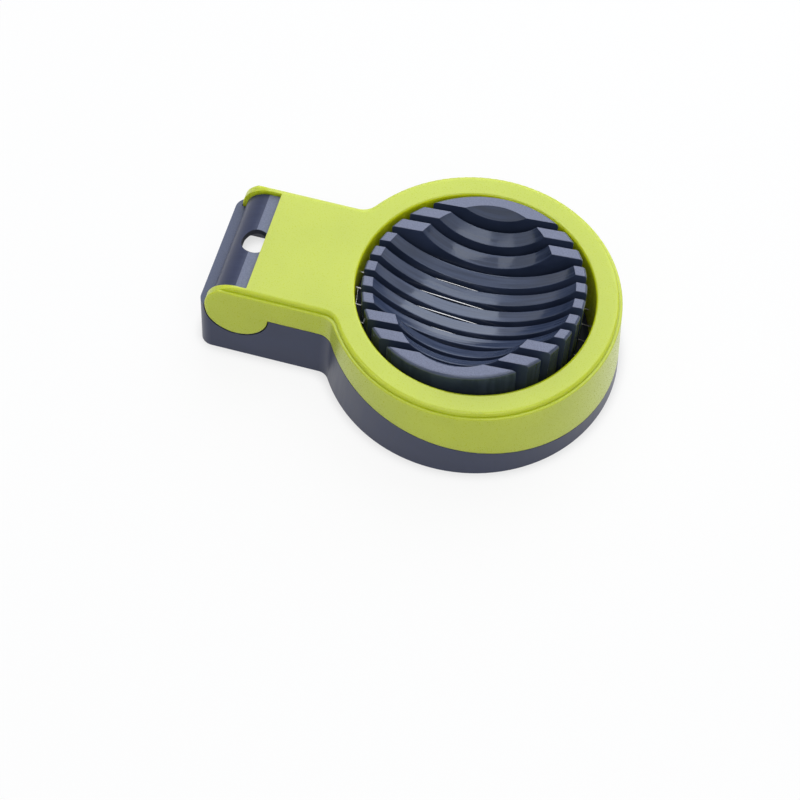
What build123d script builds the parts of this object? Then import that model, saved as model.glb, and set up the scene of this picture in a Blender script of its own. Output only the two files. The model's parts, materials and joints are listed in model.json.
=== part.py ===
"""Egg slicer: a keyhole-shaped base with a ribbed cradle, and a hinged lid strung with wires.

Millimetres. +Z is up and the base stands on Z = 0. The handle points towards -X, the
round head lies towards +X, and the origin is under the middle of the closed slicer.
"""
import math
import os

from build123d import *

# --- Body outline, at the table -------------------------------------------------------
HEAD_RADIUS = 45.95           # round head
HEAD_TO_END = 80.7            # head centre to the upright end of the handle
HANDLE_WIDTH = 45.2
DRAFT = 4.0                   # degrees, all outer walls but the end lean inwards
NECK_RADIUS = 4.0             # where the handle meets the head
END_CORNER_RADIUS = 4.0
INNER_CORNER_RADIUS = 2.0

# --- Parting line between base and lid ------------------------------------------------
HANDLE_PARTING_Z = 18.4       # level along the handle
HEAD_PARTING_Z = 12.35        # at the head's centre
PARTING_TILT = 8.25           # degrees, falling towards the far side of the head
PARTING_GAP = 0.25

# --- Lid ------------------------------------------------------------------------------
LID_TOP_Z = 28.95
LEDGE_DROP = 1.5              # the ledge round the rim lies this far below the top
LEDGE_WIDTH = 0.9
TOP_EDGE_RADIUS = 1.1
LEDGE_EDGE_RADIUS = 0.4
LID_PLATE = 2.0               # thickness of the top
RIM_WIDTH = 9.85              # from the head's outline at the table in to the opening
OPENING_EDGE_RADIUS = 0.7
OPENING_WALL = 1.6
PLATE_END_FROM_HINGE = 2.8    # the plate ends this far on the head's side of the hinge

# --- Base -----------------------------------------------------------------------------
WALL = 2.0
DECK = 1.6                    # thickness of the deck
HEAD_DECK_DROP = 1.8          # the head's deck lies this far below the parting line

# --- Hinge ----------------------------------------------------------------------------
HEAD_TO_HINGE = 68.6
EAR_RADIUS = 10.0             # the ears' tops are level with the lid's top
EAR_INNER_Y = 18.3            # inner face of the lid's arms
EAR_EDGE_RADIUS = 0.4
BARREL_RADIUS = 8.6
BARREL_FLAT_DROP = 0.05       # the flat beside the plate's end lies this far below its round top
SIDE_CLEARANCE = 0.3
POCKET_FLOOR = 1.5            # wall between the ear's pocket and the inside of the base
POCKET_RIM = 1.2
PIN_RADIUS = 2.0
PIN_RUNNING_FIT = 0.05
PIN_PRESS_CLEARANCE = 0.02
PIN_IN_EAR = 1.8
PIN_IN_BASE = 4.5
PIN_BOSS_RADIUS = 4.0
PIN_END_CLEARANCE = 0.1
PIN_CHAMFER = 0.3
HANGING_HOLE_RADIUS = 4.3

# --- Cradle ---------------------------------------------------------------------------
CRADLE_CLEARANCE = 2.65       # between the cradle and the lid's opening
CRADLE_SHIFT = -0.75          # its centre lies a little on the handle's side
CRADLE_TOP_Z = 32.4           # at the head's centre
CRADLE_TILT = 5.25            # degrees, rising towards the far side
CRADLE_EDGE_RADIUS = 1.0
RIB_EDGE_RADIUS = 0.25        # all ribs but the two outermost
RIB_COUNT = 11
RIB_MARGIN = 1.55             # the cradle's edge stands out this far past the ribs' spacing
SLOT_WIDTH = 2.4              # at the cradle's top
SLOT_DRAFT = 1.0              # degrees, the slots narrow downwards
CRADLE_FLOOR = 1.5
CRADLE_FLANGE = 1.8           # the floor stands out this far round the ribs
HOLLOW_DEPTH = 15.05
MIDDLE_RIB_COUNT = 5          # these are hollowed by a ball, and the others by a spheroid
MIDDLE_LAND = 3.23            # flat top left outside the ball's rim, along the ribs
END_LAND = 9.88               # the same outside the spheroid's rim
SIDE_LAND = 3.6               # the same outside the spheroid's rim, across the ribs
SPIGOT_WALL = 1.5
SPIGOT_INSET = 4.65           # from the cradle's edge in to the spigot
SPIGOT_LENGTH = 3.0
SNAP_BEAD = 0.4
SEAT_CLEARANCE = 0.1

# --- Wires, and the ring that closes the channel where they end -----------------------
WIRE_RADIUS = 0.2
WIRE_Z = 16.2                 # at the head's centre
WIRE_TILT = 6.7               # degrees, falling towards the far side of the head
WIRE_BEND_RADIUS = 0.8
WIRE_HOOK_LENGTH = 2.5
WIRE_HOLE_CLEARANCE = 0.03
RING_THICKNESS = 1.6
RING_SETBACK = 0.1            # behind the opening's edge
RING_FROM_OUTLINE = 3.95
SCREW_ANGLES = (0, 50, 90, 130, 180, 230, 270, 310)
SCREW_RADIUS = 1.1
SCREW_HEAD_RADIUS = 1.9
SCREW_HEAD_HEIGHT = 0.7
SCREW_SEAT_DEPTH = 0.8        # the heads bear this far below the ring's top
SCREW_LENGTH = 6.5
SCREW_CLEARANCE = 0.05
SCREW_RECESS_DEPTH = 0.4
SCREW_RECESS_WIDTH = 0.5
SCREW_RECESS_LENGTH = 2.0
SCREW_BOSS_RADIUS = 2.4

# --- Places worked out from the values above ------------------------------------------
DRAFT_SLOPE = math.tan(math.radians(DRAFT))
PARTING_SLOPE = math.tan(math.radians(PARTING_TILT))
CRADLE_SLOPE = math.tan(math.radians(CRADLE_TILT))
SLOT_SLOPE = math.tan(math.radians(SLOT_DRAFT))
HEAD_X = (HEAD_TO_END - HEAD_RADIUS) / 2
OPENING_RADIUS = HEAD_RADIUS - RIM_WIDTH
CRADLE_RADIUS = OPENING_RADIUS - CRADLE_CLEARANCE
RIB_PITCH = 2 * (CRADLE_RADIUS - RIB_MARGIN) / RIB_COUNT
SPIGOT_RADIUS = CRADLE_RADIUS - SPIGOT_INSET
RING_INNER_RADIUS = OPENING_RADIUS + RING_SETBACK
RING_OUTER_RADIUS = HEAD_RADIUS - RING_FROM_OUTLINE
SCREW_CIRCLE_RADIUS = (RING_INNER_RADIUS + RING_OUTER_RADIUS) / 2
CRADLE_X = HEAD_X + CRADLE_SHIFT
HINGE_X = HEAD_X - HEAD_TO_HINGE
HINGE_Z = LID_TOP_Z - EAR_RADIUS
PLATE_END_X = HINGE_X + PLATE_END_FROM_HINGE
BARREL_FLAT = BARREL_RADIUS - BARREL_FLAT_DROP
BARREL_FLAT_END = PLATE_END_FROM_HINGE - SIDE_CLEARANCE
BARREL_SWEEP_RADIUS = max(BARREL_RADIUS, math.hypot(BARREL_FLAT_END, BARREL_FLAT)) + SIDE_CLEARANCE
KNEE_X = HEAD_X - (HANDLE_PARTING_Z - HEAD_PARTING_Z) / PARTING_SLOPE
LEDGE_Z = LID_TOP_Z - LEDGE_DROP
BARREL_END_Y = EAR_INNER_Y - SIDE_CLEARANCE
POCKET_INSIDE_Y = BARREL_END_Y - POCKET_FLOOR
POCKET_RADIUS = EAR_RADIUS + SIDE_CLEARANCE
CRADLE_FLOOR_SHIFT = CRADLE_FLOOR - HEAD_DECK_DROP
DECK_UNDERSIDE_SHIFT = -HEAD_DECK_DROP - DECK
WIRE_SLOPE = math.tan(math.radians(WIRE_TILT))
HOOK_RADIUS = OPENING_RADIUS + OPENING_WALL + WIRE_BEND_RADIUS + WIRE_HOLE_CLEARANCE
REACH = HEAD_TO_END + HEAD_RADIUS      # larger than anything here, for cutting blocks
TOUCHING = 0.01                        # points this close to a face lie on it
RIB_CORNER_SLOPE = 2.5                 # steeper edges than this are a rib's upright ends
RIB_FOOT_Z = CRADLE_TOP_Z - HOLLOW_DEPTH - CRADLE_EDGE_RADIUS

hinge_axis_plane = Plane(origin=(HINGE_X, 0, HINGE_Z), x_dir=(1, 0, 0), z_dir=(0, -1, 0))


def keyhole_body(inset, height, low_z=0.0):
    """The drafted outer body from low_z up, moved inwards by inset, with its upright end wall."""
    shrink = inset + low_z * DRAFT_SLOPE
    half_width = HANDLE_WIDTH / 2 - shrink
    end_x = HEAD_X - HEAD_TO_END + inset
    start_x = end_x - height
    with BuildPart() as body:
        with BuildSketch(Plane.XY.offset(low_z)) as outline:
            with Locations((HEAD_X, 0)):
                Circle(HEAD_RADIUS - shrink)
            with Locations(((start_x + HEAD_X) / 2, 0)):
                Rectangle(HEAD_X - start_x, 2 * half_width)
            middle = outline.vertices().filter_by_position(Axis.X, end_x, HEAD_X)
            fillet(middle, NECK_RADIUS + inset)
        extrude(amount=height, taper=DRAFT)
        with BuildSketch(Plane.XY.offset(low_z)):
            with Locations((end_x - REACH / 2, 0)):
                Rectangle(REACH, REACH)
        extrude(amount=height, mode=Mode.SUBTRACT)
        corners = body.faces().sort_by(Axis.X)[0].edges().sort_by(Axis.Y)
        fillet([corners[0], corners[-1]], max(END_CORNER_RADIUS - inset, INNER_CORNER_RADIUS))
    return body.part


def ball_radius(half_width, depth):
    """Radius of a ball that sinks to a depth and cuts a rim of this half width."""
    return (half_width ** 2 + depth ** 2) / (2 * depth)


def side_block(points):
    """A block as wide as anything here, with an outline seen from the side."""
    with BuildPart() as block:
        with BuildSketch(Plane.XZ):
            with BuildLine():
                Polyline(*points, close=True)
            make_face()
        extrude(amount=REACH, both=True)
    return block.part


def below_slope(height, slope):
    """Everything under a plane that has this height at the head's centre."""
    left_z = height - slope * (REACH + HEAD_X)
    right_z = height + slope * (REACH - HEAD_X)
    return side_block([(-REACH, -REACH), (-REACH, left_z), (REACH, right_z), (REACH, -REACH)])


def below_head_parting(shift):
    """Everything under the head's sloping parting plane, shifted up by shift."""
    return below_slope(HEAD_PARTING_Z + shift, -PARTING_SLOPE)


def below_parting(shift):
    """Everything under the whole parting line, level and then sloping, shifted up by shift."""
    level_z = HANDLE_PARTING_Z + shift
    right_z = HEAD_PARTING_Z + shift - PARTING_SLOPE * (REACH - HEAD_X)
    return side_block([(-REACH, -REACH), (-REACH, level_z), (KNEE_X, level_z), (REACH, right_z),
                       (REACH, -REACH)])


def hinge_discs(radius, inner_y):
    """Two discs about the hinge axis that start at inner_y on each side and run outwards."""
    with BuildPart() as discs:
        with BuildSketch(hinge_axis_plane):
            Circle(radius)
        extrude(amount=REACH, both=True)
        with BuildSketch(hinge_axis_plane):
            Circle(2 * radius)
        extrude(amount=inner_y, both=True, mode=Mode.SUBTRACT)
    return discs.part


def head_cylinder(radius, center_x=HEAD_X):
    """An upright cylinder on the head, taller than the slicer."""
    with BuildPart() as cylinder:
        with BuildSketch(Plane.XY.offset(-REACH)):
            with Locations((center_x, 0)):
                Circle(radius)
        extrude(amount=2 * REACH)
    return cylinder.part


def head_disc(radius, upper_shift, lower_shift, center_x=HEAD_X):
    """An upright disc whose faces are parallel to the head's parting plane."""
    cylinder = head_cylinder(radius, center_x)
    top_block = below_head_parting(upper_shift)
    bottom_block = below_head_parting(lower_shift)
    with BuildPart() as disc:
        add(cylinder)
        add(top_block, mode=Mode.INTERSECT)
        add(bottom_block, mode=Mode.SUBTRACT)
    return disc.part


def screw_seat_z(spot):
    """Height of the face under a screw's head, at a spot measured from the head's centre."""
    return HEAD_PARTING_Z + PARTING_GAP - PARTING_SLOPE * spot.X - SCREW_SEAT_DEPTH


def half_rib(height):
    """Half the thickness of a rib at this height."""
    return (RIB_PITCH - SLOT_WIDTH) / 2 + SLOT_SLOPE * (CRADLE_TOP_Z - height)


def rib_edges(edges, rib_y):
    """The edges round the top and the hollow of one rib: those that lie on its two sides."""
    on_sides = []
    for edge in edges:
        start, middle, end = edge @ 0, edge @ 0.5, edge @ 1
        from_sides = [abs(abs(point.Y - rib_y) - half_rib(point.Z)) for point in (start, middle, end)]
        upright = abs(end.Z - start.Z) > RIB_CORNER_SLOPE * abs(end.X - start.X)
        low = min(start.Z, end.Z) < RIB_FOOT_Z
        if max(from_sides) < TOUCHING and not upright and not low:
            on_sides.append(edge)
    return on_sides


def ear_rims(edges):
    """The edges between the ears' round rims and the lid's outer walls, up to the ledge."""
    rims = []
    for edge in edges:
        middle = edge @ 0.5
        from_axis = math.hypot(middle.X - HINGE_X, middle.Z - HINGE_Z)
        below_ledge = middle.Z < LEDGE_Z - LEDGE_EDGE_RADIUS
        if abs(from_axis - EAR_RADIUS) < TOUCHING and abs(middle.Y) > EAR_INNER_Y and below_ledge:
            rims.append(edge)
    return rims


def write(part, name):
    """Label a finished piece and write its STEP file."""
    part.label = name
    export_step(part, f"parts/{name}.step")


os.makedirs("parts", exist_ok=True)

# --- Base shell: open underneath, with a deck on top and a barrel at the hinge ---------
outer_body = keyhole_body(0, HANDLE_PARTING_Z)
inner_body = keyhole_body(WALL, HANDLE_PARTING_Z)
under_base_top = below_parting(0)
under_deck = below_parting(-DECK)
under_head_deck = below_head_parting(DECK_UNDERSIDE_SHIFT)
under_head_deck_top = below_head_parting(-HEAD_DECK_DROP)
head_column = head_cylinder(HEAD_RADIUS)
pocket_walls = hinge_discs(POCKET_RADIUS + POCKET_RIM, POCKET_INSIDE_Y)
pocket_cuts = hinge_discs(POCKET_RADIUS, BARREL_END_Y)
deck_hole = head_cylinder(SPIGOT_RADIUS + SEAT_CLEARANCE, CRADLE_X)

with BuildPart() as head_recess:
    with BuildSketch():
        with Locations((HEAD_X, 0)):
            Circle(HEAD_RADIUS - WALL)
    extrude(amount=LID_TOP_Z, taper=DRAFT)
    add(under_head_deck_top, mode=Mode.SUBTRACT)

with BuildPart() as head_deck_block:
    add(head_column)
    add(under_head_deck, mode=Mode.SUBTRACT)

with BuildPart() as base_cavity:
    add(inner_body)
    add(under_deck, mode=Mode.INTERSECT)
    add(head_deck_block.part, mode=Mode.SUBTRACT)
    add(pocket_walls, mode=Mode.SUBTRACT)
    with BuildSketch(hinge_axis_plane):
        Circle(BARREL_RADIUS - WALL)
    extrude(amount=POCKET_INSIDE_Y, both=True)
    with BuildSketch(hinge_axis_plane):
        Circle(PIN_BOSS_RADIUS)
    extrude(amount=REACH, both=True, mode=Mode.SUBTRACT)
    with BuildSketch(hinge_axis_plane):
        Circle(BARREL_RADIUS - WALL)
    extrude(amount=BARREL_END_Y - PIN_IN_BASE, both=True)

with BuildPart() as base_shell:
    add(outer_body)
    add(under_base_top, mode=Mode.INTERSECT)
    add(head_recess.part, mode=Mode.SUBTRACT)
    with BuildSketch(hinge_axis_plane):
        Circle(BARREL_RADIUS)
        with Locations((BARREL_FLAT_END / 2, BARREL_FLAT / 2)):
            Rectangle(BARREL_FLAT_END, BARREL_FLAT)
        with Locations((0, BARREL_FLAT + BARREL_RADIUS)):
            Rectangle(2 * BARREL_RADIUS, 2 * BARREL_RADIUS, mode=Mode.SUBTRACT)
    extrude(amount=BARREL_END_Y, both=True)
    add(base_cavity.part, mode=Mode.SUBTRACT)
    add(pocket_cuts, mode=Mode.SUBTRACT)
    with BuildSketch(hinge_axis_plane):
        Circle(PIN_RADIUS + PIN_PRESS_CLEARANCE)
    extrude(amount=REACH, both=True, mode=Mode.SUBTRACT)
    with BuildSketch(Plane.XY.offset(HINGE_Z)):
        with Locations((HINGE_X, 0)):
            Circle(HANGING_HOLE_RADIUS)
    extrude(amount=EAR_RADIUS, mode=Mode.SUBTRACT)
    add(deck_hole, mode=Mode.SUBTRACT)
write(base_shell.part, "base_shell")

# --- Cradle: eleven ribs on a floor that sits in the head's deck ------------------------
cradle_tilt = math.radians(CRADLE_TILT)
cradle_normal = Vector(-math.sin(cradle_tilt), 0, math.cos(cradle_tilt))
cradle_along = Vector(math.cos(cradle_tilt), 0, math.sin(cradle_tilt))
cradle_top = Vector(CRADLE_X, 0, CRADLE_TOP_Z + CRADLE_SHIFT * CRADLE_SLOPE)
end_half_width = CRADLE_RADIUS - END_LAND
end_radius = ball_radius(end_half_width, HOLLOW_DEPTH)
end_half_length = (CRADLE_RADIUS - SIDE_LAND) * end_radius / end_half_width
end_center = cradle_top + cradle_normal * (end_radius - HOLLOW_DEPTH)
middle_radius = ball_radius(CRADLE_RADIUS - MIDDLE_LAND, HOLLOW_DEPTH)
middle_center = cradle_top + cradle_normal * (middle_radius - HOLLOW_DEPTH)
middle_width = MIDDLE_RIB_COUNT * RIB_PITCH

with BuildPart() as end_hollow:
    with BuildSketch(Plane(origin=end_center, x_dir=(0, 1, 0), z_dir=cradle_along)):
        Ellipse(end_half_length, end_radius)
        with Locations((0, end_radius)):
            Rectangle(2 * end_half_length, 2 * end_radius, mode=Mode.SUBTRACT)
    revolve(axis=Axis(end_center, (0, 1, 0)))
    with Locations(end_center):
        Box(REACH, middle_width, REACH, mode=Mode.SUBTRACT)

with BuildPart() as middle_hollow:
    with Locations(middle_center):
        Sphere(middle_radius)
        Box(REACH, middle_width, REACH, mode=Mode.INTERSECT)

under_slot_floor = below_head_parting(CRADLE_FLOOR_SHIFT)
slot_height = 2 * CRADLE_TOP_Z
slot_top_width = RIB_PITCH - 2 * half_rib(slot_height)
with BuildPart() as slots:
    with BuildSketch(Plane.YZ):
        with Locations((0, CRADLE_TOP_Z)):
            with GridLocations(RIB_PITCH, 0, RIB_COUNT - 1, 1):
                Trapezoid(slot_top_width, slot_height, 90 - SLOT_DRAFT, rotation=180)
    extrude(amount=REACH, both=True)
    add(under_slot_floor, mode=Mode.SUBTRACT)

rib_block = head_cylinder(CRADLE_RADIUS, CRADLE_X)
under_cradle_top = below_slope(CRADLE_TOP_Z, CRADLE_SLOPE)
cradle_floor = head_disc(CRADLE_RADIUS + CRADLE_FLANGE, CRADLE_FLOOR_SHIFT, -HEAD_DECK_DROP, CRADLE_X)
spigot_end_shift = DECK_UNDERSIDE_SHIFT - SPIGOT_LENGTH
spigot = head_disc(SPIGOT_RADIUS, -HEAD_DECK_DROP, spigot_end_shift, CRADLE_X)
snap_bead = head_disc(SPIGOT_RADIUS + SNAP_BEAD, DECK_UNDERSIDE_SHIFT - SEAT_CLEARANCE,
                      DECK_UNDERSIDE_SHIFT - SPIGOT_LENGTH / 2, CRADLE_X)
spigot_bore = head_disc(SPIGOT_RADIUS - SPIGOT_WALL, -HEAD_DECK_DROP, spigot_end_shift, CRADLE_X)

with BuildPart() as cradle:
    add(rib_block)
    add(under_cradle_top, mode=Mode.INTERSECT)
    add(under_head_deck_top, mode=Mode.SUBTRACT)
    fillet(cradle.edges().filter_by(GeomType.ELLIPSE).sort_by(Axis.Z)[-1], CRADLE_EDGE_RADIUS)
    add(end_hollow.part, mode=Mode.SUBTRACT)
    add(middle_hollow.part, mode=Mode.SUBTRACT)
    add(slots.part, mode=Mode.SUBTRACT)
    for k in range(1, RIB_COUNT - 1):
        fillet(rib_edges(cradle.edges(), RIB_PITCH * (k - (RIB_COUNT - 1) / 2)), RIB_EDGE_RADIUS)
    add(cradle_floor)
    add(spigot)
    add(snap_bead)
    add(spigot_bore, mode=Mode.SUBTRACT)
write(cradle.part, "cradle")

# --- Lid: a hollow cover with a round opening and two arms that end in ears -------------
lid_low_z = HEAD_PARTING_Z + PARTING_GAP - PARTING_SLOPE * (REACH - HEAD_X)
arm_low_z = HANDLE_PARTING_Z + PARTING_GAP
with BuildPart() as lid_side:
    with BuildSketch(Plane.XZ):
        with BuildLine():
            Polyline((HINGE_X, LID_TOP_Z), (HINGE_X, arm_low_z), (KNEE_X, arm_low_z),
                     (REACH, lid_low_z), (REACH, LID_TOP_Z), close=True)
        make_face()
        with Locations((HINGE_X, HINGE_Z)):
            Circle(EAR_RADIUS)
    extrude(amount=REACH, both=True)

screw_spots = [Vector(SCREW_CIRCLE_RADIUS, 0).rotate(Axis.Z, angle) for angle in SCREW_ANGLES]
with BuildPart() as screw_bosses:
    with BuildSketch():
        with Locations((HEAD_X, 0)):
            with Locations(screw_spots):
                Circle(SCREW_BOSS_RADIUS)
    extrude(amount=LID_TOP_Z)

opening_cut = head_cylinder(OPENING_RADIUS)
opening_wall = head_cylinder(OPENING_RADIUS + OPENING_WALL)
with BuildPart() as lid_cavity:
    with BuildSketch():
        with Locations((HEAD_X, 0)):
            Circle(HEAD_RADIUS - WALL)
    extrude(amount=LID_TOP_Z - LID_PLATE, taper=DRAFT)
    with BuildSketch():
        with Locations(((PLATE_END_X + HEAD_X) / 2, 0)):
            Rectangle(HEAD_X - PLATE_END_X, 2 * EAR_INNER_Y)
    extrude(amount=LID_TOP_Z - LID_PLATE)
    add(opening_wall, mode=Mode.SUBTRACT)
    add(screw_bosses.part, mode=Mode.SUBTRACT)

under_lid_edge = below_head_parting(PARTING_GAP)
with BuildPart() as ring_seat:
    with BuildSketch():
        with Locations((HEAD_X, 0)):
            Circle(HEAD_RADIUS - WALL)
    extrude(amount=LID_TOP_Z, taper=DRAFT)
    add(under_lid_edge, mode=Mode.INTERSECT)

hook_reach = head_cylinder(HOOK_RADIUS)
with BuildPart() as wire_holes:
    with BuildSketch(Plane(origin=(HEAD_X, 0, WIRE_Z), x_dir=(0, 1, 0), z_dir=(1, 0, -WIRE_SLOPE))):
        with GridLocations(RIB_PITCH, 0, RIB_COUNT - 1, 1):
            Circle(WIRE_RADIUS + WIRE_HOLE_CLEARANCE)
    extrude(amount=REACH, both=True)
    add(hook_reach, mode=Mode.INTERSECT)

with BuildPart() as pilot_holes:
    for spot in screw_spots:
        with BuildSketch(Plane.XY.offset(screw_seat_z(spot))):
            with Locations((HEAD_X + spot.X, spot.Y)):
                Circle(SCREW_RADIUS + SCREW_CLEARANCE)
        extrude(amount=SCREW_LENGTH + SCREW_CLEARANCE)

ledge_body = keyhole_body(0, LEDGE_Z)
plateau_body = keyhole_body(LEDGE_WIDTH, LEDGE_DROP, LEDGE_Z)
with BuildPart() as lid_cover:
    add(ledge_body)
    fillet(lid_cover.faces().sort_by(Axis.Z)[-1].edges(), LEDGE_EDGE_RADIUS)
    add(plateau_body)
    fillet(lid_cover.faces().sort_by(Axis.Z)[-1].edges(), TOP_EDGE_RADIUS)
    add(opening_cut, mode=Mode.SUBTRACT)
    fillet(lid_cover.edges().filter_by(GeomType.CIRCLE).group_by(Axis.Z)[-1], OPENING_EDGE_RADIUS)
    add(lid_side.part, mode=Mode.INTERSECT)
    fillet(ear_rims(lid_cover.edges()), EAR_EDGE_RADIUS)
    add(lid_cavity.part, mode=Mode.SUBTRACT)
    add(ring_seat.part, mode=Mode.SUBTRACT)
    add(wire_holes.part, mode=Mode.SUBTRACT)
    add(pilot_holes.part, mode=Mode.SUBTRACT)
    with BuildSketch():
        with Locations((PLATE_END_X - REACH / 2, 0)):
            Rectangle(REACH, 2 * EAR_INNER_Y)
    extrude(amount=REACH, mode=Mode.SUBTRACT)
    with BuildSketch(hinge_axis_plane):
        Circle(BARREL_SWEEP_RADIUS)
        Rectangle(2 * (HANGING_HOLE_RADIUS + SIDE_CLEARANCE), 2 * (BARREL_FLAT + SIDE_CLEARANCE))
    extrude(amount=EAR_INNER_Y, both=True, mode=Mode.SUBTRACT)
    with BuildSketch(hinge_axis_plane):
        Circle(PIN_RADIUS + PIN_RUNNING_FIT)
    extrude(amount=EAR_INNER_Y + PIN_IN_EAR, both=True, mode=Mode.SUBTRACT)
write(lid_cover.part, "lid_cover")

# --- Hinge pins: fixed in the base's bosses, turning in blind bores in the ears ---------
pin_start_y = BARREL_END_Y - PIN_IN_BASE
pin_end_y = EAR_INNER_Y + PIN_IN_EAR - PIN_END_CLEARANCE
for name, side in (("hinge_pin_left", 1), ("hinge_pin_right", -1)):
    with BuildPart() as hinge_pin:
        with BuildSketch(hinge_axis_plane.offset(-side * pin_start_y)):
            Circle(PIN_RADIUS)
        extrude(amount=-side * (pin_end_y - pin_start_y))
        chamfer(hinge_pin.edges().filter_by(GeomType.CIRCLE), PIN_CHAMFER)
    write(hinge_pin.part, name)

# --- Ring that closes the channel behind the opening's wall, with its screws ------------
ring_disc = head_disc(RING_OUTER_RADIUS, PARTING_GAP, PARTING_GAP - RING_THICKNESS)
ring_bore = head_cylinder(RING_INNER_RADIUS)
with BuildPart() as wire_clamp_ring:
    add(ring_disc)
    add(ring_bore, mode=Mode.SUBTRACT)
    add(pilot_holes.part, mode=Mode.SUBTRACT)
    for spot in screw_spots:
        with BuildSketch(Plane.XY.offset(screw_seat_z(spot))):
            with Locations((HEAD_X + spot.X, spot.Y)):
                Circle(SCREW_HEAD_RADIUS + SCREW_CLEARANCE)
        extrude(amount=-RING_THICKNESS, mode=Mode.SUBTRACT)
write(wire_clamp_ring.part, "wire_clamp_ring")

with BuildPart() as clamp_screws:
    for spot in screw_spots:
        with BuildSketch(Plane.XY.offset(screw_seat_z(spot))):
            with Locations((HEAD_X + spot.X, spot.Y)):
                Circle(SCREW_RADIUS)
        extrude(amount=SCREW_LENGTH)
        with BuildSketch(Plane.XY.offset(screw_seat_z(spot) - SCREW_HEAD_HEIGHT)):
            with Locations((HEAD_X + spot.X, spot.Y)):
                Circle(SCREW_HEAD_RADIUS)
        extrude(amount=SCREW_HEAD_HEIGHT)
        with BuildSketch(Plane.XY.offset(screw_seat_z(spot) - SCREW_HEAD_HEIGHT)):
            with Locations((HEAD_X + spot.X, spot.Y)):
                Rectangle(SCREW_RECESS_LENGTH, SCREW_RECESS_WIDTH)
                Rectangle(SCREW_RECESS_WIDTH, SCREW_RECESS_LENGTH)
        extrude(amount=SCREW_RECESS_DEPTH, mode=Mode.SUBTRACT)
write(clamp_screws.part, "clamp_screws")

# --- Ten cutting wires, one over each slot, through the opening's wall and hooked up ----
for k in range(RIB_COUNT - 1):
    y = RIB_PITCH * ((RIB_COUNT - 2) / 2 - k)
    reach = math.sqrt(HOOK_RADIUS ** 2 - y ** 2)
    left_x = HEAD_X - reach
    right_x = HEAD_X + reach
    left_z = WIRE_Z + WIRE_SLOPE * reach
    right_z = WIRE_Z - WIRE_SLOPE * reach
    with BuildPart() as wire:
        with BuildLine(Plane.XZ.offset(-y)) as wire_path:
            FilletPolyline((left_x, left_z + WIRE_HOOK_LENGTH), (left_x, left_z), (right_x, right_z),
                           (right_x, right_z + WIRE_HOOK_LENGTH), radius=WIRE_BEND_RADIUS)
        with BuildSketch(Plane(origin=wire_path.line @ 0, z_dir=wire_path.line % 0)):
            Circle(WIRE_RADIUS)
        sweep()
    write(wire.part, f"wire_{k + 1:02d}")
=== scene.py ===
"""Egg slicer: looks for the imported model, in a pale studio, closed, seen from the front."""
import json
import math

import bpy
from mathutils import Matrix, Vector


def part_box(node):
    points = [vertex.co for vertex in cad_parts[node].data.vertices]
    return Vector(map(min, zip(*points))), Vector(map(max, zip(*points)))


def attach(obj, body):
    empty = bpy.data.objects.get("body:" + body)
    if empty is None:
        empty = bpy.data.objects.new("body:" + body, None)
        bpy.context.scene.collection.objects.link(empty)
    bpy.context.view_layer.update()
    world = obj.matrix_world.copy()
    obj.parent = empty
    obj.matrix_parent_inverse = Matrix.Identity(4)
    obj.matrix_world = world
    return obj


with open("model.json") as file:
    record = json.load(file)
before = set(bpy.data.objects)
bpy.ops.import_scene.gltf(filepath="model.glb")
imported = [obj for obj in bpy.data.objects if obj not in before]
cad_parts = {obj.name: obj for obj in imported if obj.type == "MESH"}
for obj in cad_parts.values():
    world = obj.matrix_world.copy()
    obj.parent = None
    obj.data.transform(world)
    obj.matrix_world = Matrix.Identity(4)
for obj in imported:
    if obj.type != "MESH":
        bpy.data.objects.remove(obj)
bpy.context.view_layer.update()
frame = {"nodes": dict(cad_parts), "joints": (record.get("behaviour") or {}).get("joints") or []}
nodes = frame["nodes"]
MM = 0.001

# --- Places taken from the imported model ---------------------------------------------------
ring_low, ring_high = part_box("wire_clamp_ring")
HEAD_X = (ring_low.x + ring_high.x) / 2
HINGE_X = frame["joints"][0]["pos_m"][0]        # the hanging hole is centred on it too
BARREL_FLAT_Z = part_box("base_shell")[1].z       # the highest face of the base

# --- Sizes of the solids that a box can't give; the far side is away from the handle ------
PARTING_Z = 12.35 * MM                          # at the head's centre
PARTING_TILT = math.radians(8.25)               # falling towards the far side of the head
CRADLE_TILT = math.radians(5.25)                # of its top plane, rising towards the far side
OPENING_RADIUS = 36.1 * MM
HANGING_HOLE_RADIUS = 4.3 * MM
WIRE_RADIUS = 0.2 * MM
WIRE_Z = 16.2 * MM                              # at the head's centre
WIRE_SLOPE = math.tan(math.radians(6.7))        # falling towards the far side
LACING_SETBACK = 0.5 * MM                       # of the crossing strand from the opening's wall

# --- Camera: its place relative to the head's centre on the table -------------------------
CAMERA_AZIMUTH = math.radians(12.331)
CAMERA_ELEVATION = math.radians(58.413)
CAMERA_ROLL = math.radians(3.32)
CAMERA_DISTANCE = 636.661 * MM
CAMERA_SHIFT = (-20.668 * MM, -18.512 * MM)     # sideways and up, as the camera sees it
CAMERA_LENS = 92.469                            # in millimetres, like the sensor
SENSOR_WIDTH = 36

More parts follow.
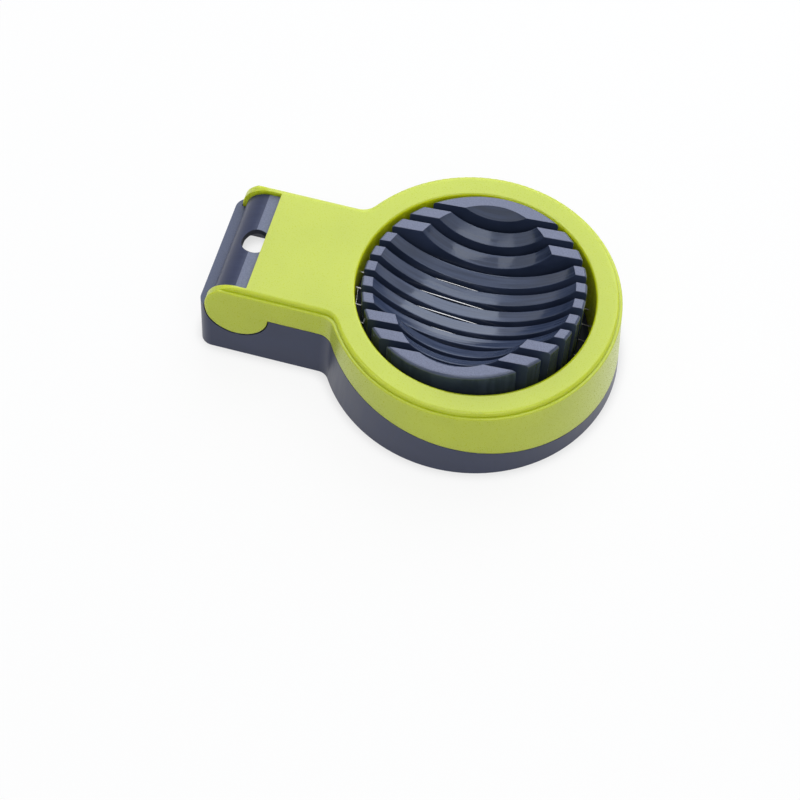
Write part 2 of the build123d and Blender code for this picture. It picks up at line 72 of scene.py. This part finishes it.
# --- Studio -------------------------------------------------------------------------------
FLOOR_SIZE = 6.0                                # in metres, as the softboxes are
FLOOR_COLOR = (0.92, 0.92, 0.925, 1)
FLOOR_GLOW = 0.9                                # share of white that the camera and gloss see
CONTACT_SHADOW_REACH = 5 * MM                          # painted contact shadow: the glow is fainter this near to the slicer
CONTACT_SHADOW_LEVEL = 0.74                            # strength of the glow where the painted shadow is darkest
CONTACT_SHADOW_OPENNESS = (0.35, 0.95)                 # open share of the sky where the painted shadow is darkest, and where the glow is full
CONTACT_SHADOW_SAMPLES = 8
WORLD_LIGHT = 0.2                               # strength of the light all round
SOFTBOXES = (
    # Name, centre, width and height, tilt from level and turn about the vertical in degrees,
    # watts, and the tint of one that isn't white.
    ("softbox_back", (0.055, 0.669, 0.743), (1.21, 1.05), (-42, 0), 9.8, (0.90, 0.94, 1)),
    ("softbox_left", (-1.0, -0.6, 1.1), (1.0, 0.8), (20, 30), 3.0),
    ("softbox_front", (0.35, -0.62, 1.05), (1.2, 0.8), (31, 18), 5.7),
)

# --- Finishes: waves are per metre, and a bump is its depth and its strength --------------
NOISE_SPREAD = (0.3, 0.7)                       # nearly all of a noise's values lie here
FINE_DETAIL = 3.0                               # of the grain's noise

# Slate plastic. Colours go from dark to light, and roughness from glossy to dull.
SHELL_LOOK = {
    "smooth_colors": ((0.025, 0.032, 0.074, 1), (0.029, 0.037, 0.083, 1)),
    "grain_colors": ((0.130, 0.146, 0.215, 1), (0.180, 0.198, 0.280, 1)),
    "smooth_roughness": (0.32, 0.38),
    "streak_bump": (0.001 * MM, 0.6),
    "specular": 0.36,
}
CRADLE_LOOK = {
    "smooth_colors": ((0.029, 0.042, 0.083, 1), (0.043, 0.060, 0.115, 1)),
    "grain_colors": ((0.108, 0.122, 0.190, 1), (0.166, 0.183, 0.272, 1)),
    "smooth_roughness": (0.08, 0.27),
    "streak_bump": (0.030 * MM, 0.6),
    "specular": 0.62,
}
SLATE_GLOSS = (0.84, 0.90, 1, 1)
# Painted shade: a near-black colour and a dull roughness for the deck round the cradle, the
# cradle's floor and the hanging hole's wall, which lie deep in shade.
PAINTED_SHADE_SLATE = (0.016, 0.019, 0.032, 1)
PAINTED_SHADE_ROUGHNESS = 0.7
STREAK_WAVES = (60.0, 1300.0)                   # along the wires and across them
STREAK_SPREAD = (0.35, 0.65)
GRAIN_WAVES = 2600.0
GRAIN_SPREAD = (0.3, 0.75)
GRAIN_ROUGHNESS = (0.42, 0.56)
GRAIN_BUMP = (0.04 * MM, 0.6)
SLATE_RIPPLE_WAVES = 240.0
SLATE_RIPPLE_BUMP = (0.010 * MM, 0.5)

# Lime plastic. The opening's wall has painted light: it is brighter than the rest, standing in for
# light that shines through the plastic and bounces round the gap.
LIME = ((0.520, 0.608, 0.014, 1), (0.550, 0.640, 0.020, 1))
LIME_WALL_PAINTED_LIGHT = (0.760, 0.860, 0.010, 1)
LIME_CLOUD_WAVES = 45.0
LIME_ROUGHNESS = (0.27, 0.30)
LIME_GLOSS_WAVES = 2600.0
LIME_GRAIN_WAVES = 3200.0
LIME_GRAIN_BUMP = (0.004 * MM, 0.5)
LIME_RIPPLE_WAVES = 130.0
LIME_RIPPLE_BUMP = (0.012 * MM, 0.4)
LIME_SPECULAR = 0.55
LIME_SCATTER = 0.6                              # share of the light that spreads inside it
LIME_SCATTER_REACH = 3.5 * MM
LIME_SCATTER_COLOR = (1.0, 1.0, 0.1)

# Steel. Each kind has its colour and its mean roughness.
WIRE_STEEL = ((0.44, 0.44, 0.45, 1), 0.25)
PIN_STEEL = ((0.60, 0.60, 0.61, 1), 0.28)
SCREW_STEEL = ((0.62, 0.62, 0.64, 1), 0.32)
MARK_WAVES = 1800.0
MARK_BUMP = (0.005 * MM, 0.4)
MARK_ROUGHNESS = (0.75, 1.25)                   # shares of the mean
MARK_SHADE = 0.88                               # a mark's colour, as a share of the steel's
FAR_END_PAINTED_SHADE = 0.25                            # painted shade: the colour of steel under the head's far rim, as a share of the steel's

# --- Where one finish, painted shade or painted light gives way to another, from the start of the change to its end ---
# painted shade on the steel begins here, under the head's far rim
FAR_END_X = (HEAD_X + 30 * MM, HEAD_X + 33 * MM)
# painted light on the lime begins here, at the opening's wall
OPENING_WALL_RADIUS = (OPENING_RADIUS + 0.1 * MM, OPENING_RADIUS + 0.3 * MM)
# This and the next four place the painted shade on the base and the cradle.
HOLE_WALL_RADIUS = (HANGING_HOLE_RADIUS + 0.05 * MM, HANGING_HOLE_RADIUS + 0.15 * MM)
DECK_X = (-35 * MM, -34 * MM)                   # the barrel and the handle's end lie before it
DECK_RISE = (-1.3 * MM, -0.9 * MM)              # above the parting plane
DECK_FACING = (0.5, 0.6)                        # 1 is level and 0 is upright
CRADLE_FLOOR_RISE = (0.4 * MM, 1.4 * MM)        # above the parting plane
CRADLE_TOP_RISE = (-0.12 * MM, -0.03 * MM)      # above the cradle's top plane
FLAT_FACING = (0.998, 0.9995)
FLAT_Z = (0.7 * BARREL_FLAT_Z, 0.9 * BARREL_FLAT_Z)
LOW_FLAT_GRAIN = 0.45                           # share of the grain that the lower flats get


def link_object(name, data):
    """A new object in the scene."""
    obj = bpy.data.objects.new(name, data)
    bpy.context.scene.collection.objects.link(obj)
    return obj


def add_camera():
    """A camera that looks down at the head from the front, turned a little about its own view."""
    back = Vector((math.sin(CAMERA_AZIMUTH) * math.cos(CAMERA_ELEVATION),
                   -math.cos(CAMERA_AZIMUTH) * math.cos(CAMERA_ELEVATION),
                   math.sin(CAMERA_ELEVATION)))
    right = (-back).cross(Vector((0, 0, 1))).normalized()
    up = right.cross(-back)
    place = Vector((HEAD_X, 0, 0)) + back * CAMERA_DISTANCE
    place += right * CAMERA_SHIFT[0] + up * CAMERA_SHIFT[1]
    rolled_right = right * math.cos(CAMERA_ROLL) + up * math.sin(CAMERA_ROLL)
    rolled_up = up * math.cos(CAMERA_ROLL) - right * math.sin(CAMERA_ROLL)
    data = bpy.data.cameras.new("camera")
    data.lens = CAMERA_LENS
    data.sensor_width = SENSOR_WIDTH
    camera = link_object("camera", data)
    rows = [[rolled_right[i], rolled_up[i], back[i], place[i]] for i in range(3)]
    camera.matrix_world = Matrix([*rows, [0, 0, 0, 1]])
    bpy.context.scene.camera = camera


def add_softbox(name, center, size, angles, watts, color=(1, 1, 1)):
    """A rectangular lamp that faces down, and then is tilted and turned."""
    data = bpy.data.lights.new(name, "AREA")
    data.shape = "RECTANGLE"
    data.size, data.size_y = size
    data.energy = watts
    data.color = color
    lamp = link_object(name, data)
    lamp.location = center
    tilt, turn = angles
    lamp.rotation_euler = (math.radians(tilt), 0, math.radians(turn))


# --- Node helper --------------------------------------------------------------------------
class Nodes:
    """Adds nodes to a tree and wires them up, so that a material reads as a list of steps."""

    def __init__(self, tree):
        self.tree = tree
        tree.nodes.clear()

    def add(self, kind, inputs, **settings):
        """A node with its settings; an input's value is a number, a colour or another socket."""
        node = self.tree.nodes.new(kind)
        for key, value in settings.items():
            setattr(node, key, value)
        for key, value in inputs.items():
            if isinstance(value, bpy.types.NodeSocket):
                self.tree.links.new(value, node.inputs[key])
            else:
                node.inputs[key].default_value = value
        return node

    def math(self, operation, first, second):
        """The result of one sum."""
        return self.add("ShaderNodeMath", {0: first, 1: second}, operation=operation).outputs[0]

    def vector(self, operation, first, second, output="Vector"):
        """The result of one sum with vectors."""
        node = self.add("ShaderNodeVectorMath", {0: first, 1: second}, operation=operation)
        return node.outputs[output]

    def ramp(self, value, low, high, start=0.0, end=1.0):
        """A value carried smoothly from low..high to start..end."""
        inputs = {"Value": value, "From Min": low, "From Max": high, "To Min": start, "To Max": end}
        return self.add("ShaderNodeMapRange", inputs, interpolation_type="SMOOTHSTEP").outputs[0]

    def fade(self, value, low, high):
        """1 up to low and 0 from high on, with a smooth step between them."""
        return self.ramp(value, low, high, 1.0, 0.0)

    def mix(self, factor, first, second):
        """A blend of two colours."""
        inputs = {0: factor, 6: first, 7: second}
        return self.add("ShaderNodeMix", inputs, data_type="RGBA").outputs[2]

    def place(self):
        """The piece's own coordinates, which move with it."""
        return self.add("ShaderNodeTexCoord", {}).outputs["Object"]

    def along(self, direction):
        """How far a point lies along a direction, in metres."""
        return self.vector("DOT_PRODUCT", self.place(), direction, "Value")

    def from_axis(self, x):
        """Distance from the upright line through this x and the middle of y, in metres."""
        level = self.vector("MULTIPLY", self.place(), (1, 1, 0))
        return self.vector("DISTANCE", level, (x, 0, 0), "Value")

    def facing_up(self):
        """1 on a level face that looks up, and 0 on an upright one."""
        normal = self.add("ShaderNodeNewGeometry", {}).outputs["True Normal"]
        return self.vector("DOT_PRODUCT", normal, (0, 0, 1), "Value")

    def noise(self, waves, detail=2.0):
        """Noise from 0 to 1 with this many waves per metre."""
        inputs = {"Vector": self.place(), "Scale": waves, "Detail": detail}
        return self.add("ShaderNodeTexNoise", inputs).outputs["Fac"]

    def streaks(self, along, across):
        """Noise drawn out along the wires, with this many waves per metre along and across them."""
        drawn = self.vector("MULTIPLY", self.place(), (along, across, along))
        return self.add("ShaderNodeTexNoise", {"Vector": drawn, "Scale": 1.0}).outputs["Fac"]

    def bump(self, height, depth, strength, normal=None):
        """A normal that follows a height, on top of another normal if one is given."""
        inputs = {"Height": height, "Distance": depth, "Strength": strength}
        if normal:
            inputs["Normal"] = normal
        return self.add("ShaderNodeBump", inputs).outputs["Normal"]

    def principled(self, inputs):
        """The finish itself, wired to the material's output."""
        shader = self.add("ShaderNodeBsdfPrincipled", inputs)
        self.add("ShaderNodeOutputMaterial", {"Surface": shader.outputs["BSDF"]})


def new_material(name):
    """An empty material and its node helper."""
    material = bpy.data.materials.new(name)
    material.use_nodes = True
    return material, Nodes(material.node_tree)


# --- Stage --------------------------------------------------------------------------------
def seen_rays(n):
    """1 on rays that show the backdrop: the camera's, and those that metal and gloss reflect."""
    rays = n.add("ShaderNodeLightPath", {}).outputs
    mirrored = n.math("MAXIMUM", rays["Is Glossy Ray"], rays["Is Transmission Ray"])
    return n.math("MAXIMUM", rays["Is Camera Ray"], mirrored)


def add_floor():
    """A wide pale floor that keeps the slicer's shadow, with a painted contact shadow where it is
    near the slicer.
    """
    half = FLOOR_SIZE / 2
    corners = [(-half, -half, 0), (half, -half, 0), (half, half, 0), (-half, half, 0)]
    mesh = bpy.data.meshes.new("floor")
    mesh.from_pydata(corners, [], [(0, 1, 2, 3)])
    material, n = new_material("floor_white")
    diffuse = n.add("ShaderNodeBsdfDiffuse", {"Color": FLOOR_COLOR}).outputs["BSDF"]
    # painted contact shadow: the white glow is dimmed where the slicer closes off the sky
    openness = n.add("ShaderNodeAmbientOcclusion", {"Distance": CONTACT_SHADOW_REACH},
                     samples=CONTACT_SHADOW_SAMPLES).outputs["AO"]
    level = n.ramp(openness, *CONTACT_SHADOW_OPENNESS, CONTACT_SHADOW_LEVEL, 1.0)
    glow = n.add("ShaderNodeEmission", {"Color": (1, 1, 1, 1), "Strength": level})
    share = n.math("MULTIPLY", seen_rays(n), FLOOR_GLOW)
    surface = n.add("ShaderNodeMixShader", {0: share, 1: diffuse, 2: glow.outputs["Emission"]})
    n.add("ShaderNodeOutputMaterial", {"Surface": surface.outputs["Shader"]})
    mesh.materials.append(material)
    link_object("floor", mesh)


def add_world():
    """Even grey light all round, seen as white."""
    world = bpy.data.worlds.new("studio")
    bpy.context.scene.world = world
    world.use_nodes = True
    n = Nodes(world.node_tree)
    level = n.ramp(seen_rays(n), 0.0, 1.0, WORLD_LIGHT, 1.0)
    background = n.add("ShaderNodeBackground", {"Color": (1, 1, 1, 1), "Strength": level})
    n.add("ShaderNodeOutputWorld", {"Surface": background.outputs["Background"]})


# --- Slate plastic ------------------------------------------------------------------------
def slate_plastic(name, grained, painted_shade, *, smooth_colors, grain_colors, smooth_roughness,
                  streak_bump, specular):
    """Dark blue-grey plastic, finely streaked, grained where the first mask says, and with painted
    shade, near-black and dull, where the second mask says.
    """
    material, n = new_material(name)
    grain_mask = grained(n)
    painted_shade_mask = painted_shade(n)
    streak = n.streaks(*STREAK_WAVES)
    speck = n.noise(GRAIN_WAVES, FINE_DETAIL)

    smooth_color = n.mix(n.ramp(streak, *STREAK_SPREAD), *smooth_colors)
    grain_color = n.mix(n.ramp(speck, *GRAIN_SPREAD), *grain_colors)
    # painted shade: near-black where the second mask says
    color = n.mix(painted_shade_mask, n.mix(grain_mask, smooth_color, grain_color), PAINTED_SHADE_SLATE)

    smooth = n.ramp(streak, *NOISE_SPREAD, *smooth_roughness)
    matte = n.ramp(speck, *NOISE_SPREAD, *GRAIN_ROUGHNESS)
    rough = n.math("ADD", n.math("MULTIPLY", grain_mask, matte),
                   n.math("MULTIPLY", n.math("SUBTRACT", 1.0, grain_mask), smooth))
    rough = n.math("MAXIMUM", rough, n.math("MULTIPLY", painted_shade_mask, PAINTED_SHADE_ROUGHNESS))

    normal = n.bump(n.math("MULTIPLY", speck, grain_mask), *GRAIN_BUMP)
    normal = n.bump(streak, *streak_bump, normal)
    normal = n.bump(n.noise(SLATE_RIPPLE_WAVES), *SLATE_RIPPLE_BUMP, normal)
    n.principled({"Base Color": color, "Roughness": rough, "Normal": normal,
                  "Specular IOR Level": specular, "Specular Tint": SLATE_GLOSS})
    return material


def above_parting(n):
    """Height above the head's parting plane, in metres."""
    up = Vector((math.sin(PARTING_TILT), 0, math.cos(PARTING_TILT)))
    return n.math("SUBTRACT", n.along(up), up.dot(Vector((HEAD_X, 0, PARTING_Z))))


def cradle_painted_shade(n):
    """Where shade is painted on the cradle: 1 on its floor, round its ribs and between them."""
    return n.fade(above_parting(n), *CRADLE_FLOOR_RISE)


def cradle_flats(n):
    """1 on the cradle's sloping top plane, from just under it up."""
    up = Vector((-math.sin(CRADLE_TILT), 0, math.cos(CRADLE_TILT)))
    top = max(up.dot(vertex.co) for vertex in nodes["cradle"].data.vertices)
    return n.ramp(n.along(up), *(top + rise for rise in CRADLE_TOP_RISE))


def shell_painted_shade(n):
    """Where shade is painted on the base: 1 on the deck round the cradle and on the hanging hole's
    wall.
    """
    level = n.ramp(n.facing_up(), *DECK_FACING)
    low = n.fade(above_parting(n), *DECK_RISE)
    inside = n.ramp(n.along((1, 0, 0)), *DECK_X)
    deck = n.math("MULTIPLY", level, n.math("MULTIPLY", low, inside))
    return n.math("MAXIMUM", deck, n.fade(n.from_axis(HINGE_X), *HOLE_WALL_RADIUS))


def shell_flats(n):
    """1 on the flat of the barrel, and less on the base's level edges below it."""
    level = n.ramp(n.facing_up(), *FLAT_FACING)
    high = n.ramp(n.along((0, 0, 1)), *FLAT_Z, LOW_FLAT_GRAIN, 1.0)
    return n.math("MULTIPLY", level, high)


# --- Lime plastic and steel ---------------------------------------------------------------
def lime_plastic():
    """Yellow-green moulded plastic with a satin finish, which lets light in a little, and painted
    light on the opening's wall.
    """
    material, n = new_material("lime_plastic")
    painted_light_mask = n.fade(n.from_axis(HEAD_X), *OPENING_WALL_RADIUS)
    clouds = n.ramp(n.noise(LIME_CLOUD_WAVES), *NOISE_SPREAD)
    normal = n.bump(n.noise(LIME_GRAIN_WAVES, FINE_DETAIL), *LIME_GRAIN_BUMP)
    n.principled({
        # painted light: the brighter colour on the opening's wall
        "Base Color": n.mix(painted_light_mask, n.mix(clouds, *LIME), LIME_WALL_PAINTED_LIGHT),
        "Roughness": n.ramp(n.noise(LIME_GLOSS_WAVES), *NOISE_SPREAD, *LIME_ROUGHNESS),
        "Normal": n.bump(n.noise(LIME_RIPPLE_WAVES), *LIME_RIPPLE_BUMP, normal),
        "Specular IOR Level": LIME_SPECULAR,
        "Subsurface Weight": LIME_SCATTER,
        "Subsurface Radius": LIME_SCATTER_COLOR,
        "Subsurface Scale": LIME_SCATTER_REACH})
    return material


def shaded(color, share):
    """A darker colour: this share of the one given."""
    return [share * channel for channel in color[:3]] + [1]


def steel(name, color, roughness):
    """Steel with fine marks all over it, and painted shade under the head's far rim."""
    material, n = new_material(name)
    marks = n.noise(MARK_WAVES)
    marked = n.mix(marks, color, shaded(color, MARK_SHADE))
    # painted shade: the steel is darkened under the head's far rim
    far_shade_mask = n.ramp(n.along((1, 0, 0)), *FAR_END_X)
    rough = n.ramp(marks, *NOISE_SPREAD, *(roughness * share for share in MARK_ROUGHNESS))
    n.principled({"Base Color": n.mix(far_shade_mask, marked, shaded(color, FAR_END_PAINTED_SHADE)),
                  "Roughness": rough, "Metallic": 1.0, "Normal": n.bump(marks, *MARK_BUMP)})
    return material


# --- The model ----------------------------------------------------------------------------
def dress(material, names):
    """Give CAD nodes their material."""
    for name in names:
        mesh = nodes[name].data
        mesh.materials.clear()
        mesh.materials.append(material)


def add_lacing(near_wire, far_wire, material):
    """The short strand that crosses between two wires, just inside the opening."""
    curve = bpy.data.curves.new("wire_lacing", "CURVE")
    curve.dimensions = "3D"
    curve.bevel_depth = WIRE_RADIUS
    curve.bevel_resolution = 4
    curve.use_fill_caps = True
    spline = curve.splines.new("POLY")
    spline.points.add(1)
    for point, name in zip(spline.points, (near_wire, far_wire)):
        low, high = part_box(name)
        y = (low.y + high.y) / 2
        from_center = -math.sqrt((OPENING_RADIUS - LACING_SETBACK) ** 2 - y ** 2)
        point.co = (HEAD_X + from_center, y, WIRE_Z - WIRE_SLOPE * from_center, 1)
    curve.materials.append(material)
    lacing = link_object("wire_lacing", curve)
    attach(lacing, "lid")


add_camera()
add_world()
add_floor()
for softbox in SOFTBOXES:
    add_softbox(*softbox)

dress(slate_plastic("slate_plastic_shell", shell_flats, shell_painted_shade, **SHELL_LOOK), ["base_shell"])
dress(slate_plastic("slate_plastic_cradle", cradle_flats, cradle_painted_shade, **CRADLE_LOOK), ["cradle"])
dress(lime_plastic(), ["lid_cover", "wire_clamp_ring"])
dress(steel("pin_steel", *PIN_STEEL), ["hinge_pin_left", "hinge_pin_right"])
dress(steel("screw_steel", *SCREW_STEEL), ["clamp_screws"])
wire_finish = steel("wire_steel", *WIRE_STEEL)
wire_names = [name for name in nodes if name.startswith("wire_") and name != "wire_clamp_ring"]
dress(wire_finish, wire_names)
add_lacing("wire_06", "wire_07", wire_finish)

bpy.context.scene.view_settings.view_transform = "Standard"
